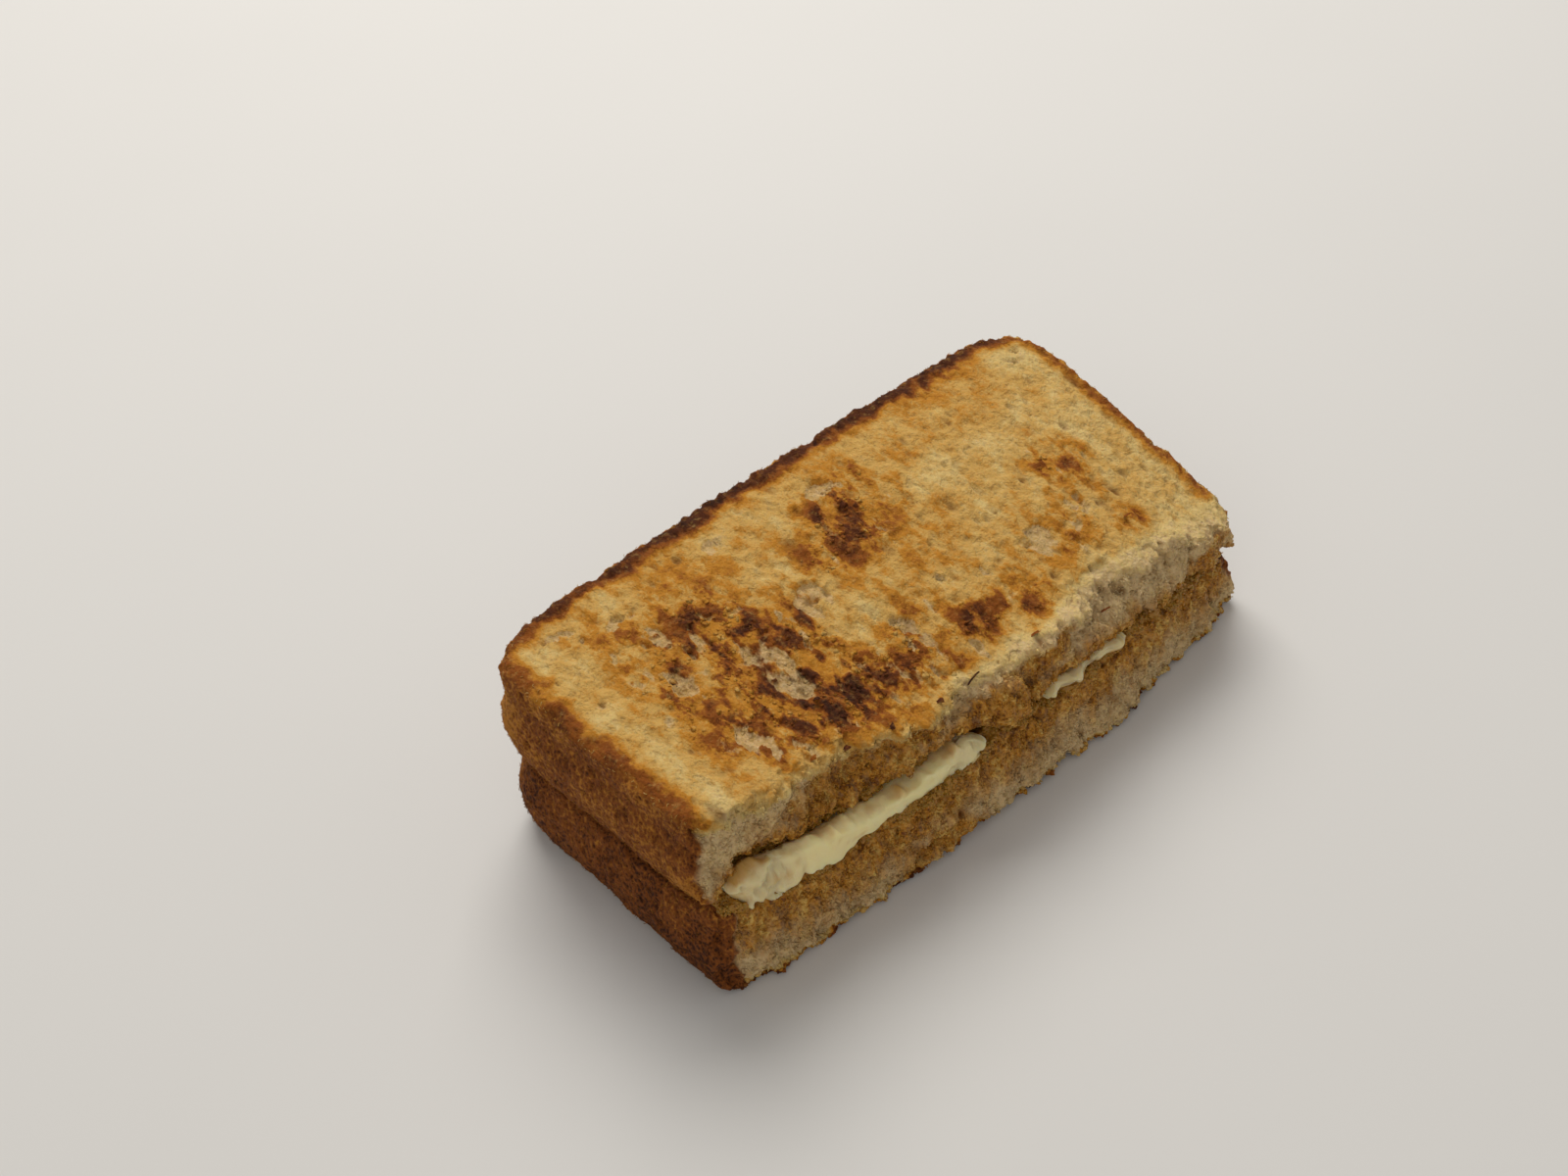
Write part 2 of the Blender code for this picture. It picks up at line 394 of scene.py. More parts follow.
def bread_material(look):
    """White sandwich loaf, toasted: a dry, dull, open crumb that scatters light a little way in.

    browning runs from untoasted crumb to scorched, with painted shade along the back rim, crusted is
    the loaf's skin from the oven, soaked is crumb wet with kaya and butter, and hollow is how deep in
    a pore the surface lies. Pore floors are darkened as painted shade. The crust and the soaked crumb
    are lighter on the walls of fine pores and darker in their middles, as painted highlights and
    shade, and the crust's tone carries painted shade along the top of the back.
    """
    material, tree, coords = new_material("toasted_white_loaf")
    fields = {}
    for name in ("browning", "scorch", "bare", "crusted", "baked", "soaked", "hollow"):
        fields[name] = add(tree, "ShaderNodeAttribute", {"attribute_name": name}).outputs["Fac"]
    wander = {"Vector": coords, "Scale": 1 / (BUBBLE_WANDER_SIZE * MM)}
    wander = add(tree, "ShaderNodeTexNoise", None, wander).outputs["Color"]
    wander = {0: wander, 1: (BUBBLE_WANDER * MM,) * 3, 2: coords}
    moved = add(tree, "ShaderNodeVectorMath", {"operation": "MULTIPLY_ADD"}, wander).outputs[0]
    for name, kind, size, stretch, values in BREAD_PATTERNS:
        places = moved if kind == "ShaderNodeTexVoronoi" else coords
        scale = [1 / (size * MM * factor) for factor in stretch]
        places = add(tree, "ShaderNodeMapping", None, {"Vector": places, "Scale": scale}).outputs[0]
        fields[name] = add(tree, kind, None, {"Vector": places, "Scale": 1.0, **values}).outputs[0]
    flakes = {"Value": fields["flaking"], "From Min": 0.45, "From Max": 0.57}
    fields["flakes"] = add(tree, "ShaderNodeMapRange", None, flakes).outputs[0]
    for name, operation, *given in BREAD_SUMS:
        terms = {place: fields.get(term, term) for place, term in enumerate(given)}
        fields[name] = add(tree, "ShaderNodeMath", {"operation": operation}, terms).outputs[0]
    browned = (
        (0.0, look.crumb),
        (0.16, look.toast_pale),
        (0.31, look.toast_gold),
        (0.46, look.toast_orange),
        (0.62, look.toast_brown),
        (0.8, look.toast_dark),
        (1.0, look.toast_burnt),
    )
    crusts = ((0.0, look.crust_gold), (0.45, look.crust_brown), (1.0, look.crust_dark))
    soaks = ((0.15, look.soaked_dark), (0.52, look.soaked_light), (0.9, look.soaked_pale))
    tints = {}
    for name, field, stops in (
        ("toast", "brown", browned),
        ("torn", "fine", ((0.3, look.pit_shade), (0.7, look.crumb))),
        ("crust", "skin", crusts),
        ("soaked", "sodden", soaks),
        # painted shade: white on open faces, the pore shade on pore floors
        ("pore", "hollow", ((0.0, (1, 1, 1)), (1.0, look.pore_shade))),
    ):
        ramp = add(tree, "ShaderNodeValToRGB", None, {"Fac": fields[field]})
        ramp.color_ramp.interpolation = "EASE"
        while len(ramp.color_ramp.elements) < len(stops):
            ramp.color_ramp.elements.new(0.5)
        for element, (place, colour) in zip(ramp.color_ramp.elements, stops):
            element.position = place
            element.color = opaque(colour)
        tints[name] = ramp.outputs["Color"]
    torn_off = {"Value": fields["bare"], "From Min": 0.38, "From Max": 0.62, "To Max": 0.8}
    torn_off = add(tree, "ShaderNodeMapRange", None, torn_off).outputs[0]
    colour = tints["toast"]
    for factor, name, how in (
        (torn_off, "torn", "MIX"),
        (fields["wet"], "soaked", "MIX"),
        (fields["crusted"], "crust", "MIX"),
        # painted shade: the colour is multiplied darker on pore floors
        (1.0, "pore", "MULTIPLY"),
    ):
        settings = {"data_type": "RGBA", "blend_type": how, "clamp_factor": True}
        colour = add(tree, "ShaderNodeMix", settings, {0: factor, 6: colour, 7: tints[name]}).outputs[2]
    relief = {"Strength": 0.85, "Distance": 0.55 * MM, "Height": fields["relief"]}
    gloss = {"Value": fields["wet"], "To Min": 0.9, "To Max": 0.27}
    finish = {
        "Base Color": colour,
        "Roughness": add(tree, "ShaderNodeMapRange", None, gloss).outputs[0],
        "Normal": add(tree, "ShaderNodeBump", None, relief).outputs[0],
        "Subsurface Weight": 0.12,
        "Subsurface Radius": (1.0, 0.5, 0.2),
        "Subsurface Scale": 1.2 * MM,
        "Specular IOR Level": 0.25,
        "IOR": 1.45,
    }
    shader = add(tree, "ShaderNodeBsdfPrincipled", None, finish)
    add(tree, "ShaderNodeOutputMaterial", None, {"Surface": shader.outputs[0]})
    return material


def butter_material(look):
    """Cold butter, softened by the warm toast: smooth fat that glows from within, stained by kaya."""
    material, tree, coords = new_material("salted_butter")
    clots = {"Vector": coords, "Scale": 1 / (3.0 * MM), "Detail": 4.0, "Roughness": 0.55}
    clots = add(tree, "ShaderNodeTexNoise", None, clots).outputs["Fac"]
    smear = {"Vector": coords, "Scale": 1 / (0.9 * MM), "Detail": 3.0, "Distortion": 1.0}
    smear = add(tree, "ShaderNodeTexNoise", None, smear).outputs["Fac"]
    melted = add(tree, "ShaderNodeAttribute", {"attribute_name": "melted"}).outputs["Fac"]
    stained = add(tree, "ShaderNodeAttribute", {"attribute_name": "stained"}).outputs["Fac"]
    colour = opaque(look.butter_deep)
    for factor, tint in ((clots, look.butter), (melted, look.butter_melted), (stained, look.kaya)):
        inputs = {0: factor, 6: colour, 7: opaque(tint)}
        colour = add(tree, "ShaderNodeMix", {"data_type": "RGBA"}, inputs).outputs[2]
    gloss = {"Value": melted, "To Min": 0.42, "To Max": 0.16}
    relief = {"Strength": 0.35, "Distance": 0.35 * MM, "Height": smear}
    finish = {
        "Base Color": colour,
        "Roughness": add(tree, "ShaderNodeMapRange", None, gloss).outputs[0],
        "Normal": add(tree, "ShaderNodeBump", None, relief).outputs[0],
        "Subsurface Weight": 0.6,
        "Subsurface Radius": (1.0, 0.75, 0.35),
        "Subsurface Scale": 2.6 * MM,
        "IOR": 1.46,
    }
    shader = add(tree, "ShaderNodeBsdfPrincipled", None, finish)
    add(tree, "ShaderNodeOutputMaterial", None, {"Surface": shader.outputs[0]})
    return material


def kaya_material(look):
    """Coconut and egg jam: an amber gel with fine curds in it, wet on top."""
    material, tree, coords = new_material("kaya_jam")
    curds = {"Vector": coords, "Scale": 1 / (1.1 * MM), "Detail": 4.0, "Roughness": 0.65}
    curds = add(tree, "ShaderNodeTexNoise", None, curds).outputs["Fac"]
    inputs = {0: curds, 6: opaque(look.kaya_dark), 7: opaque(look.kaya)}
    relief = {"Strength": 0.8, "Distance": 0.7 * MM, "Height": curds}
    finish = {
        "Base Color": add(tree, "ShaderNodeMix", {"data_type": "RGBA"}, inputs).outputs[2],
        "Normal": add(tree, "ShaderNodeBump", None, relief).outputs[0],
        "Roughness": 0.22,
        "Subsurface Weight": 0.35,
        "Subsurface Radius": (1.0, 0.45, 0.12),
        "Subsurface Scale": 1.5 * MM,
        "IOR": 1.43,
    }
    shader = add(tree, "ShaderNodeBsdfPrincipled", None, finish)
    add(tree, "ShaderNodeOutputMaterial", None, {"Surface": shader.outputs[0]})
    return material


def floor_material(look):
    """A matt painted board: plain, with the faintest unevenness."""
    material, tree, coords = new_material("matt_white_board")
    cloud = {"Vector": coords, "Scale": 9.0, "Detail": 2.0}
    cloud = add(tree, "ShaderNodeTexNoise", None, cloud).outputs["Fac"]
    inputs = {0: cloud, 6: opaque(look.floor), 7: opaque([0.96 * part for part in look.floor])}
    colour = add(tree, "ShaderNodeMix", {"data_type": "RGBA"}, inputs).outputs[2]
    shader = add(tree, "ShaderNodeBsdfPrincipled", None, {"Base Color": colour, "Roughness": 0.7})
    add(tree, "ShaderNodeOutputMaterial", None, {"Surface": shader.outputs[0]})
    return material


# The bread


# Scorched places on the upper face: middle x and y, half width along x and y, strength.
SCORCHES = (
    (-31, -7, 17, 15, 0.36),
    (-20, -18, 18, 7, 0.22),
    (2, 6, 13, 9, 0.2),
    (6, -16, 14, 8, 0.2),
    (30, -10, 12, 9, 0.1),
    (-34, 19, 16, 6, 0.12),
    (28, 8, 18, 14, 0.05),
    (-32.8, -8, 3, 7, 0.95),
    (-23.6, -8.5, 3.2, 4.5, 0.95),
    (-25, -16, 4, 3.6, 1.2),
    (-29.8, -17, 3, 2.8, 0.7),
    (-26, 0, 3, 2.6, 0.8),
    (-30.5, 6.5, 6, 5.5, 0.62),
    (-37, 3, 6, 5, 0.35),
    (-41.5, 1, 3, 8, 0.3),
    (-45, -4, 2.6, 14, 0.22),
    (-38, -16, 3, 8, 0.3),
    (-17.5, -4, 2, 4, 0.75),
    (-20, -20.5, 10, 3.6, 0.4),
    (-27, -22, 8, 3.4, 0.45),
    (-12.5, -19, 5, 4, 0.4),
    (-6.5, -26, 2.6, 4.2, 0.95),
    (-7.5, -13.5, 2.4, 2.6, 0.45),
    (4, -19, 3.2, 2.8, 0.7),
    (11.5, -22, 3.4, 3, 0.62),
    (16, -24, 4, 3.4, 0.4),
    (2, 9.5, 4.6, 5, 0.75),
    (-6, 4, 6, 4, 0.3),
    (8, 15, 3.4, 6, 0.3),
    (39, -4.5, 4.4, 4.4, 0.55),
    (39.5, -21, 2.4, 1.8, 0.75),
    (33.5, -14, 4, 3.6, 0.3),
    (27, -20, 3, 5, 0.3),
    (38, 23, 5, 3.4, 0.3),
    (-44, 14, 5, 3, 0.2),
)

# Torn places that show pale crumb: middle x and y, half width along x and y.
BARE_PATCHES = (
    (-27.8, -9, 3.4, 8.2),
    (-13.6, -1.4, 3.6, 5.0),
    (-40.4, -19, 2.2, 5.6),
    (-45, 9.5, 1.8, 2.6),
    (-38, 9, 2.2, 2.6),
    (-41, -1.5, 1.6, 3.6),
    (-6.4, -17.5, 2.4, 6.2),
    (-36, -24, 1.8, 3.6),
    (24, -15.3, 3.2, 4.4),
    (34.8, -13.3, 2.4, 2.2),
    (3.5, 16, 3.6, 2.6),
    (-48, 20, 3.4, 1.3),
    (-39.5, 15.2, 4, 1.3),
    (-17.5, 18, 3.4, 2.4),
    (52, 19, 2.6, 2.2),
)


SCORCH_MOST = 0.62  # where spots overlap, their strengths together come near this and no further
SPOT_FALL = 0.85  # below 1, a spot has a softer edge than a plain bell curve


def spots(points, places):
    """1 at the middle of a place in the list, falling to nothing, times its strength if it has one."""
    for middle_x, middle_y, wide, deep, *strength in places:
        away = ((points[:, 0] - middle_x) / wide) ** 2 + ((points[:, 1] - middle_y) / deep) ** 2
        yield np.exp(-(away**SPOT_FALL)) * (strength[0] if strength else 1)


def toasted_top(points, to_crust, to_cut):
    """The upper face, from the points and their gaps to the crust and the cut, in mm.

    Gives how browned it is, with painted shade along the back rim, where crumb lies bare, how its
    flakes stand up, how scorched it is and where scorched scales cling.
    """
    flat = points * (1, 1, 0)
    scorch = sum(spots(drift(flat, 4.0, 301, 1.8), SCORCHES))
    scorch = SCORCH_MOST * (1 - np.exp(-scorch / SCORCH_MOST))
    flakes = rough(drift(flat, 3.0, 320, 1.0), (2.2, 4.4, 2.2), 330, 4)
    raised = ease(-0.12, 0.14, flakes)
    level = 0.26 + 0.08 * rough(flat, (11, 15, 11), 310) + 0.08 * rough(flat, (4, 6, 4), 315)
    level = level + 0.05 * flakes
    holes = rough(drift(flat, 2.0, 350, 0.6), (1.7, 3.4, 1.7), 355)
    torn = np.max(list(spots(drift(flat, 2.0, 360, 0.9), BARE_PATCHES)), axis=0)
    bare = 0.8 * holes - 0.4 + 0.34 * np.clip(scorch / 0.35, 0, 1) + 0.9 * ease(0.3, 0.6, torn)
    level = level - 0.1 * hump(points[:, 0], -53, 5) * ease(18, 8, points[:, 1])

    # The rim is browner and the torn fringe above the cut is paler. The back rim is browner still,
    # partly from its own toasting and partly as painted shade of the sandwich's other half, left out of
    # the scene.
    rim_gap = to_crust + 1.3 * rough(points, 2.6, 611)
    rim = ease(5.6, 1.4, rim_gap)
    back = ease(BACK - 10, BACK - 4, points[:, 1])
    scorch = scorch * (1 - 0.6 * rim)
    scales = ease(0.25, 0.5, scorch * (0.6 + 0.6 * raised))
    # painted shade: the back term darkens the back rim as if the other half stood behind it
    level = level + 0.34 * rim + 0.22 * back * ease(8.0, 2.5, rim_gap)
    fringe = ease(4.0, 1.2, to_cut + 1.3 * rough(points, 2.2, 615)) * ease(-14, -6, points[:, 0])
    return level * (1 - 0.7 * fringe), bare - 0.8 * rim, raised, scorch * (1 - fringe), scales


def relief_of_toasted(points):
    """Pits and rises of a toasted face, in mm, and how hollow it is."""
    flat = points * (1, 0.6, 0.4)
    large = bubbles(flat, 4.6, 401, 0.42, 3.0)
    small = bubbles(drift(flat, 3.0, 405, 0.5), 2.1, 410, 0.5, 1.6)
    pins = bubbles(flat, 1.2, 420, 0.52, 1.3)
    height = 0.25 * rough(points, 5.0, 430) + 0.34 * rough(points, (1.1, 1.6, 1.1), 440, 2)
    height = height - 0.6 * large - 0.4 * small - 0.26 * pins
    return height, np.clip(0.8 * large + 0.7 * small + 0.5 * pins, 0, 1)


def relief_of_crust(points):
    """The skin of the loaf from the oven: a low wander with many small pits."""
    pits = bubbles(drift(points, 3.0, 505, 0.6), 1.8, 510, 0.52, 1.2)
    pins = bubbles(points, 1.05, 520, 0.55, 0.9)
    height = 0.35 * rough(points, 6.0, 530) + 0.2 * rough(points, 1.4, 540) - 0.36 * pits - 0.24 * pins
    return height, np.clip(0.8 * pits + 0.6 * pins, 0, 1)


def relief_of_crumb(points, seed):
    """Torn open crumb: ragged bubbles of all sizes, drawn out upwards by the knife."""
    drawn = drift(points, 2.4, seed, 0.8) * (1, 1, 0.7)
    large = bubbles(drawn, 4.6, seed + 10, 0.48, 2.2)
    middling = bubbles(drawn, 2.3, seed + 20, 0.55, 1.4)
    small = bubbles(drawn, 1.15, seed + 30, 0.58, 1.0)
    height = 0.85 * rough(points, 4.0, seed + 40) + 0.65 * rough(points, (1.7, 1.7, 2.4), seed + 50, 2)
    height = height - 1.5 * large - 0.8 * middling - 0.3 * small
    return height, np.clip(0.7 * large + 0.7 * middling + 0.4 * small, 0, 1)


def crumb_tears(points, seed):
    """A sideways raggedness for torn edges, in mm."""
    return drift(points, 1.5, seed, 0.6) - points


# Paler places on the crust: middle x, y and z, and reach.
PALE_CRUST = ((-60, 22, 25, 6), (-60, -24, 22, 3), (58, 20, 24, 5))


def baked_and_shaded_skin(points):
    """How dark the crust is: its own tone with pale patches, darker low down, lighter near the cut and
    at the top, and darker along the top of the back as painted shade of the sandwich's other half.
    """
    dark = 0.35 + 0.4 * ease(26, 4, points[:, 2]) + 0.3 * rough(points, 6.0, 601)
    # painted shade: darker along the top of the back, where the sandwich's other half, left out of the
    # scene, would shade it
    dark = dark + 0.3 * ease(BACK - 6, BACK - 2, points[:, 1]) * ease(27, 34, points[:, 2])
    dark = dark - 0.3 * ease(CUT_FOOT + 8, CUT_FOOT + 1, points[:, 1])
    dark = dark - 0.12 * ease(30, 35, points[:, 2])
    for x, y, z, reach in PALE_CRUST:
        away = ((points - (x, y, z)) ** 2).sum(axis=1) / reach**2
        dark = dark - 0.7 * np.exp(-away)
    return np.clip(dark, 0, 1)


# The seam at the cut, in mm. The long slab of butter shows between its two ends, and past its right
# end the seam is higher.
SLAB_LEFT = (-52, -57)
SLAB_RIGHT = (-8.5, -4)
PAST_SLAB = (-17, -5)
LOWER_RISE = 0.5
LOWER_RISE_AT_SLAB = 1.5
LOWER_RISE_PAST_SLAB = 2.3
UPPER_SAG = 0.9
UPPER_RISE_AT_SLAB = 3.2
UPPER_RISE_PAST_SLAB = 1.9
UPPER_SWELL = 0.9
UPPER_SWELL_SHUT = 2.5
LIP_RETREAT = 2.4


def shut(x):
    """1 where the slices meet at the cut with no butter between them, 0 where the long slab shows."""
    return np.clip(ease(*SLAB_LEFT, x) + ease(*SLAB_RIGHT, x), 0, 1)


def lift_at_cut(x):
    """How far the lower slice and the butter on it rise at the cut, in mm."""
    at_slab = LOWER_RISE_AT_SLAB * hump(x, -44, 22)
    return LOWER_RISE + at_slab + LOWER_RISE_PAST_SLAB * ease(*PAST_SLAB, x)


def press_seam(points, upper, to_toasted, to_inner, to_cut):
    """Swells the crumb at the seam and draws the lip back, as the press of the knife leaves them."""
    x = points[:, 0]
    closed = shut(x)
    near_cut = ease(7, 1.5, to_cut)
    points = points.copy()
    if upper:
        near = ease(11, 2, to_inner) * near_cut
        uneven = 0.6 * rough(points * (1, 0, 0), 5.0, 690)
        points[:, 1] -= near * (UPPER_SWELL + UPPER_SWELL_SHUT * closed + uneven)
        drop = UPPER_SAG * closed - UPPER_RISE_AT_SLAB * hump(x, -48, 14)
        drop = drop - UPPER_RISE_PAST_SLAB * ease(*PAST_SLAB, x)
        points[:, 2] -= ease(6, 0.5, to_inner) * near_cut * drop
        retreat = ease(-15, -7, x) * ease(36, 26, x)
        points[:, 1] += LIP_RETREAT * retreat * ease(9, 1.5, to_toasted) * ease(6, 1.5, to_cut)
    else:
        points[:, 2] += ease(6, 0.5, to_inner) * near_cut * lift_at_cut(x)
    return points


SEEN_INSIDE = 8  # an inner face shows this far in from the foot of the cut, in mm


def dress_slice(name, node, upper, look, material):
    """One slice of bread: even faces over the solid, then its pores, tears and toasting."""
    source = merged_copy(node)
    toasted_side, inner_side = (facing_up, facing_down) if upper else (facing_down, facing_up)
    voxel, cuts, rounds = (look.upper_voxel, 1, 36) if upper else (look.lower_voxel, 2, 44)

    def shown(centre, normal):
        inner = inner_side(centre, normal) and centre.y > CUT_FOOT + SEEN_INSIDE
        return not inner and (upper or not toasted_side(centre, normal))

    made = remeshed(name, source.copy(), voxel)
    mesh = made.data
    refined(mesh, shown, cuts)
    points = averaged(points_of(mesh), edges_of(mesh), rounds, 0.6)
    to_toasted = gap_to(points, source, toasted_side)
    to_inner = gap_to(points, source, inner_side)
    to_crust = gap_to(points, source, at_crust)
    to_cut = gap_to(points, source, at_cut)
    points = press_seam(points, upper, to_toasted, to_inner, to_cut)
    move_points(mesh, points)
    outward = soft_normals(mesh, 3)

    # Which face each point belongs to, 0 to 1
    on_cut = ease(1.6, 0.6, to_cut) * ease(0.2, 1.3, to_toasted)
    on_toasted = ease(1.4, 0.5, to_toasted) * (1 - on_cut)
    on_crust = ease(1.4, 0.6, to_crust) * (1 - on_cut) * (1 - on_toasted)
    hidden = ease(0.9, 0.3, to_inner) * ease(0.5, 2.5, to_cut) * ease(0.4, 1.4, to_crust)

    toasted_height, toasted_hollow = relief_of_toasted(points)
    crust_height, crust_hollow = relief_of_crust(points)
    crumb_height, crumb_hollow = relief_of_crumb(points, 801 if upper else 901)
    height = on_toasted * toasted_height + on_crust * crust_height + on_cut * crumb_height
    hollow = on_toasted * toasted_hollow + on_crust * crust_hollow + on_cut * crumb_hollow

    # How far the browning goes in from the toasted face, kaya and butter from the filling, and the
    # loaf's skin from the crust
    depth_browned = 0.55 + 0.5 * rough(points, 1.6, 630)
    reach = look.soak_reach / MM * (1 + 0.35 * rough(points * (1, 1, 0), 2.6, 640))
    crust_depth = 1.4 + 0.5 * rough(points, 3.0, 701)
    x = points[:, 0]
    if upper:
        level, bare, raised, scorch, scales = toasted_top(points, to_crust, to_cut)
        scales = scales * on_toasted
        height = height + on_toasted * (0.26 * raised * (0.4 + scorch) - 0.6 * ease(0.42, 0.58, bare))
        hollow = np.clip(hollow - 0.35 * raised * scorch / 0.4, 0, 1)
        depth_browned = depth_browned + 0.9 * ease(-42, -48, x)
        reach = reach * (0.58 + 1.5 * hump(x, -33, 15) + 0.4 * hump(x, 8, 8))
    else:
        level = 0.6 + 0.15 * rough(points, 4.0, 620)
        bare = np.full(len(points), -1.0)
        scorch = scales = np.zeros(len(points))
        reach = reach * (0.82 + 0.35 * hump(x, -25, 25) + 0.25 * rough(points, 7.0, 645))
        crust_depth = crust_depth + 2.4 * ease(-50, -56, x)
    skin_deep = ease(depth_browned + 0.9, depth_browned - 0.4, to_toasted)
    soaked = ease(1.15, 0.25, to_inner / reach.clip(0.5)) * ease(0.4, 1.6, to_toasted)
    crusted = ease(crust_depth + 0.5, crust_depth - 0.5, to_crust) * ease(0.3, 0.9, to_toasted)

    # The crumb is hollowed under the lip, and the lip itself is ragged.
    under_lip = hump(to_toasted, 2.8, 1.4) * on_cut * (0.5 + 0.8 * rough(points * (1, 1, 0), 3.5, 650))
    under_lip = under_lip * (0.3 + 1.7 * hump(x, -30, 15))
    height = (height - 0.9 * under_lip.clip(0)) * (1 - hidden)
    points = points + outward * height[:, None]
    points = points + crumb_tears(points, 810 if upper else 910) * (on_cut * (1 - hidden))[:, None]
    lip = ease(2.6, 0.8, to_toasted) * ease(2.6, 0.6, to_cut)
    broad, narrow, tooth = (1.1, 0.8, 1.4) if upper else (0.4, 0.6, 1.0)
    ragged = broad * rough(points * (1, 1, 0.5), 4.2, 660) + narrow * rough(points, tooth, 665, 2)
    points[:, 1] -= lip * ragged
    if not upper:
        points[:, 2] = points[:, 2].clip(0)
    move_points(mesh, points)
    skin = on_crust + on_toasted * ease(2.2, 0.8, to_crust)
    store(mesh, "browning", level * skin_deep)
    store(mesh, "scorch", scorch * skin_deep)
    store(mesh, "bare", bare)
    store(mesh, "crusted", crusted)
    # the crust's own tone, with painted shade along the top of the back
    store(mesh, "baked", baked_and_shaded_skin(points))
    store(mesh, "soaked", soaked * (1 - crusted))
    # hollow also darkens the colour in the material, as painted shade on pore floors
    store(mesh, "hollow", np.clip(hollow, 0, 1))
    store(mesh, "torn", on_cut * (1 - crusted) * (1 - hidden))
    store(mesh, "foot", ease(1.5, 0.7, points[:, 2]) * ease(1.8, 0.9, to_cut))
    store(mesh, "skin", skin * (1 - hidden) * ease(0.3, 1.2, points[:, 2]))
    store(mesh, "scorched", scales)
    finish_piece(made, [node], material)
    return made


# The filling


KAYA_VOXEL = 0.45 * MM
BUTTER_VOXEL = 0.35 * MM


def dress_kaya(name, node, material, seed):
    """One spread: a thin wet layer full of crumb, rough and lumpy where it comes to the cut."""
    source = merged_copy(node)
    made = remeshed(name, source.copy(), KAYA_VOXEL)
    mesh = made.data
    points = averaged(points_of(mesh), edges_of(mesh), 4, 0.5)
    move_points(mesh, points)
    outward = soft_normals(mesh, 3)
    to_cut = gap_to(points, source, lambda centre, normal: normal.y < -FILLING_FORWARDS["kaya"])
    near = ease(9, 2, to_cut)
    height = relief_of_crumb(points, seed)[0]
    points = points + outward * (near * 0.5 + (0.35 + 0.55 * near) * height)[:, None]
    points = points + crumb_tears(points, seed + 60) * near[:, None]
    points[:, 1] -= ease(2.5, 0.5, to_cut) * 1.2 * rough(points * (1, 1, 0), 2.2, seed + 70)
    points[:, 2] += ease(6, 1.5, to_cut) * lift_at_cut(points[:, 0])
    move_points(mesh, points)
    store(mesh, "torn", ease(4, 1, to_cut))
    finish_piece(made, [node], material)
    return made


# A slab of butter at the cut, in mm
BUTTER_FRONT = 1.7  # its front is flattened this far in from its foremost place
BUTTER_FLATTENED = 0.3  # to this share of its depth
BUTTER_END = 3.4  # the radius of its ends
BUTTER_TALLER = 3.1  # the long slab's left end is fuller than its solid
SLANT = np.array([[0.8, 0, 0.6], [0, 1, 0], [-0.6, 0, 0.8]])  # the way of the knife


def dress_butter(name, node, material, seed, melted_end):
    """One slab: soft folds drawn on the slant by the knife, melting from melted_end or all over."""
    source = merged_copy(node)
    made = remeshed(name, source.copy(), BUTTER_VOXEL)
    mesh = made.data
    points = averaged(points_of(mesh), edges_of(mesh), 30, 0.6)
    move_points(mesh, points)
    outward = soft_normals(mesh, 4)
    to_cut = gap_to(points, source, lambda centre, normal: normal.y < -FILLING_FORWARDS["butter"])
    near = ease(8, 2, to_cut)
    slanted = points @ SLANT.T
    folds = rough(drift(slanted, 5.0, seed, 2.0), (5.5, 9.0, 6.0), seed + 5, 2)
    folds = folds * (0.45 + 0.5 * ease(-25, -42, points[:, 0]))
    ripple = rough(points, (1.9, 3.0, 1.9), seed + 15, 2)
    rise = points[:, 2] - points[:, 2].mean()
    underside = ease(0.4, -1.0, rise)
    scallops = np.clip(rough(points * (1, 0.4, 0.4), 3.0, seed + 10, 2), -0.2, 1)
    spikes = np.clip(rough(points * (1, 0.4, 0.4), 1.7, seed + 12, 2), 0, 1)
    points = points + outward * (near * (0.8 * folds + 0.25 * ripple))[:, None]
    points = points - np.outer(near * scallops * underside * 1.3, (0, 0.35, 0.95))
    points[:, 2] += near * spikes * ease(-0.2, 0.9, rise) * 0.7
    y = points[:, 1]
    front = y.min() + BUTTER_FRONT
    points[:, 1] = np.where(y < front, front + BUTTER_FLATTENED * (y - front), y)
    points[:, 1] += near * 0.35 * rough(slanted, (2.4, 2.0, 5.0), seed + 18)
    to_end = np.minimum(points[:, 0] - points[:, 0].min(), points[:, 0].max() - points[:, 0])
    rounding = np.sqrt(np.clip(1 - (1 - to_end / BUTTER_END).clip(0) ** 2, 0.02, 1))
    points[:, 2] -= (points[:, 2] - points[:, 2].mean()) * (1 - rounding)
    taller = BUTTER_TALLER * hump(points[:, 0], -50, 13) * ease(-0.3, 0.9, rise)
    shallower = 0.9 * ease(-26, -12, points[:, 0]) * underside
    points[:, 2] += near * (taller + shallower)
    points[:, 2] += ease(7, 1.5, to_cut) * lift_at_cut(points[:, 0])
    if melted_end is None:
        points[:, 1] -= near * 1.3
        points[:, 1] += near * 0.8 * ease(-0.2, 0.5, lumps(points * (1, 0, 0), 3.4, seed + 30))
        melted = 0.8 + 0.35 * rough(points, 2.5, seed + 20)
    else:
        melting = ease(melted_end + 15, melted_end + 5, points[:, 0])
        melting = melting + 0.8 * ease(-16, -11, points[:, 0])
        points = points - np.outer(near * melting * underside, (0, 0.5, 1.6))
        points[:, 1] += near * melting * 1.1 * ease(0.05, 0.4, rough(points, (2.6, 3.0, 1.5), seed + 25))
        melted = melting * (0.75 + 0.35 * rough(points, 2.0, seed + 20))
    move_points(mesh, points)
    edge = ease(0.45, 1.0, np.abs(rise) / np.abs(rise).max())
    stained = 0.9 * edge + 0.9 * rough(points, (3.0, 3.0, 1.6), seed + 40) - 0.45 + 0.25 * melted
    store(mesh, "melted", np.clip(melted, 0, 1))
    store(mesh, "stained", np.clip(stained, 0, 0.75))
    finish_piece(made, [node], material)
    return made


# Crumbs and flakes, by Geometry Nodes


